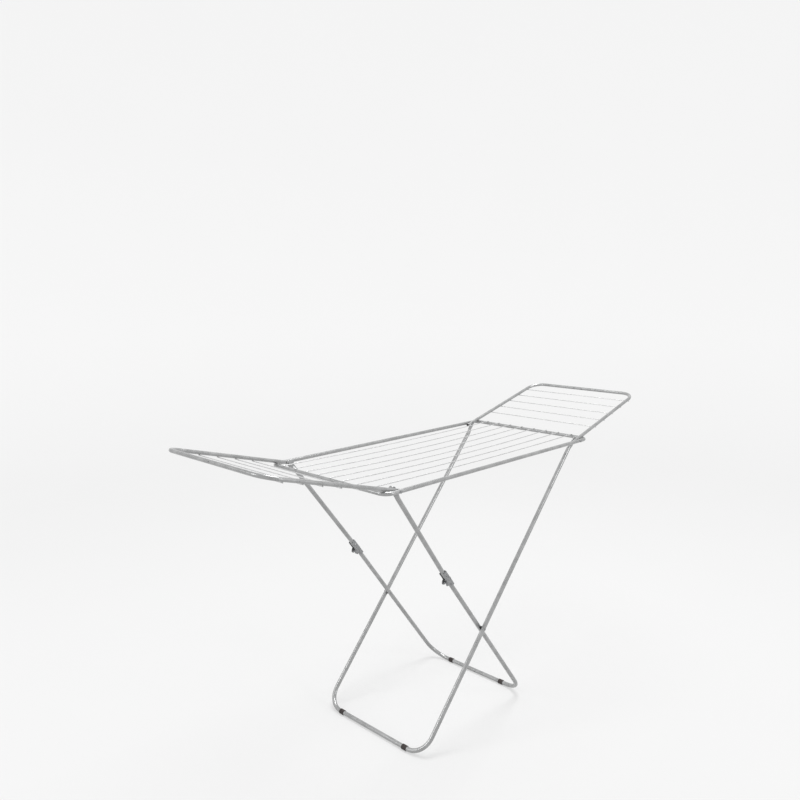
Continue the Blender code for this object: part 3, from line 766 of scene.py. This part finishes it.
def makeKneeBrackets():
    for part in ("upper", "lower"):
        for place in ("front", "back"):
            node = f"{part}_knee_bracket_{place}"
            piece = copyOf(frame["nodes"][node], f"{part}KneeBracket{place.title()}")
            piece.parent = None
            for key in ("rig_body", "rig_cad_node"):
                del piece[key]
            smoothOff(piece)
            applied(piece, "BEVEL", width=kneeBracket["edge"], segments=kneeBracket["edgeSteps"],
                    limit_method="ANGLE", angle_limit=math.radians(kneeBracket["sharpFrom"]))
            smoothOff(piece)
            settle(piece, "bracket", node)


makeKneeBrackets()
print("knee brackets made")


# Studio: a round pale sweep that looks the same from every side, soft lights and the camera

studio = {"floorRadius": 7.0, "sweep": 2.5, "height": 6.0, "rimSides": 96, "sweepSteps": 12,
          "tone": (0.26, 0.26, 0.26), "toneSpread": 1.02, "glow": 0.675, "nearShare": 0.765,
          "fade": (0.8, 6.5), "sky": 0.75, "aim": (0, 0, 0.6),
          "lights": [("overheadLight", (0.6, 0.2, 3.8), 1.6, 95), ("sideLight", (-3.2, 1.6, 2.6), 1.2, 30),
                     ("frontLight", (1.2, -3.8, 2.4), 1.2, 30)]}


def makeFloor():
    letGo()
    radius, sweep = studio["floorRadius"], studio["sweep"]
    bpy.ops.mesh.primitive_circle_add(vertices=studio["rimSides"], radius=radius - sweep, fill_type="NGON",
                                      location=(0, 0, 0))
    floor = bpy.context.active_object
    floor.name = "floor"
    bpy.ops.object.mode_set(mode="EDIT")
    bpy.ops.mesh.select_all(action="SELECT")
    for step in range(1, studio["sweepSteps"] + 1):  # pushes the rim out and up round the sweep
        before = math.pi / 2 * (step - 1) / studio["sweepSteps"]
        turn = math.pi / 2 * step / studio["sweepSteps"]
        was = radius - sweep + sweep * math.sin(before)
        grow = (radius - sweep + sweep * math.sin(turn)) / was
        if step == 1:
            bpy.ops.mesh.select_mode(type="EDGE")
            bpy.ops.mesh.region_to_loop()
        rise = sweep * (math.cos(before) - math.cos(turn))
        bpy.ops.mesh.extrude_edges_move(TRANSFORM_OT_translate={"value": (0, 0, rise)})
        bpy.ops.transform.resize(value=(grow, grow, 1), center_override=(0, 0, 0))
    bpy.ops.mesh.extrude_edges_move(TRANSFORM_OT_translate={"value": (0, 0, studio["height"] - sweep)})
    bpy.ops.object.mode_set(mode="OBJECT")
    bpy.ops.object.shade_smooth_by_angle(angle=math.radians(35))
    finish = Finish("paleFloor", specular=0.1)
    cloud = finish.noise(1.2, 3.0)
    paper = tuple(value * studio["toneSpread"] for value in studio["tone"])
    reach = finish.node("ShaderNodeVectorMath", {"operation": "LENGTH"}, {0: finish.place}, "Value")
    near = (studio["nearShare"],) * 3
    glow = finish.ramp(finish.mask(reach, *studio["fade"]), [(0.0, near), (1.0, (1, 1, 1))])
    finish.feed(Base_Color=finish.ramp(cloud, [(0.2, studio["tone"]), (0.8, paper)]), Roughness=0.9,
                Emission_Color=glow)
    finish.shader.inputs["Emission Strength"].default_value = studio["glow"]
    floor.data.materials.append(finish.material)


def makeLights():
    world = bpy.data.worlds.new("studioAir")
    world.use_nodes = True
    world.node_tree.nodes["Background"].inputs["Color"].default_value = (1, 1, 1, 1)
    world.node_tree.nodes["Background"].inputs["Strength"].default_value = studio["sky"]
    bpy.context.scene.world = world
    bpy.context.scene.view_settings.view_transform = "Standard"
    target = Vector(studio["aim"])
    for name, place, size, power in studio["lights"]:
        light = bpy.data.lights.new(name, "AREA")
        light.shape = "DISK"
        light.size = size
        light.energy = power
        lamp = bpy.data.objects.new(name, light)
        bpy.context.scene.collection.objects.link(lamp)
        lamp.location = place
        lamp.rotation_euler = (target - Vector(place)).to_track_quat("-Z", "Y").to_euler()


viewpoint = {"place": (-2.04041, -1.81359, 1.53839), "turn": -45.4158, "dip": 8.9641, "roll": -0.4206,
             "lens": 35.365, "sensor": 36.0}


def makeCamera():
    data = bpy.data.cameras.new("viewpoint")
    data.lens = viewpoint["lens"]
    data.sensor_width = viewpoint["sensor"]
    camera = bpy.data.objects.new("viewpoint", data)
    bpy.context.scene.collection.objects.link(camera)
    turn = Matrix.Rotation(math.radians(viewpoint["turn"]), 4, "Z")
    tip = Matrix.Rotation(math.radians(90 - viewpoint["dip"]), 4, "X")
    roll = Matrix.Rotation(math.radians(viewpoint["roll"]), 4, "Z")
    camera.matrix_world = Matrix.Translation(viewpoint["place"]) @ turn @ tip @ roll
    bpy.context.scene.camera = camera


makeFloor()
makeLights()
makeCamera()
print("studio made")

letGo()
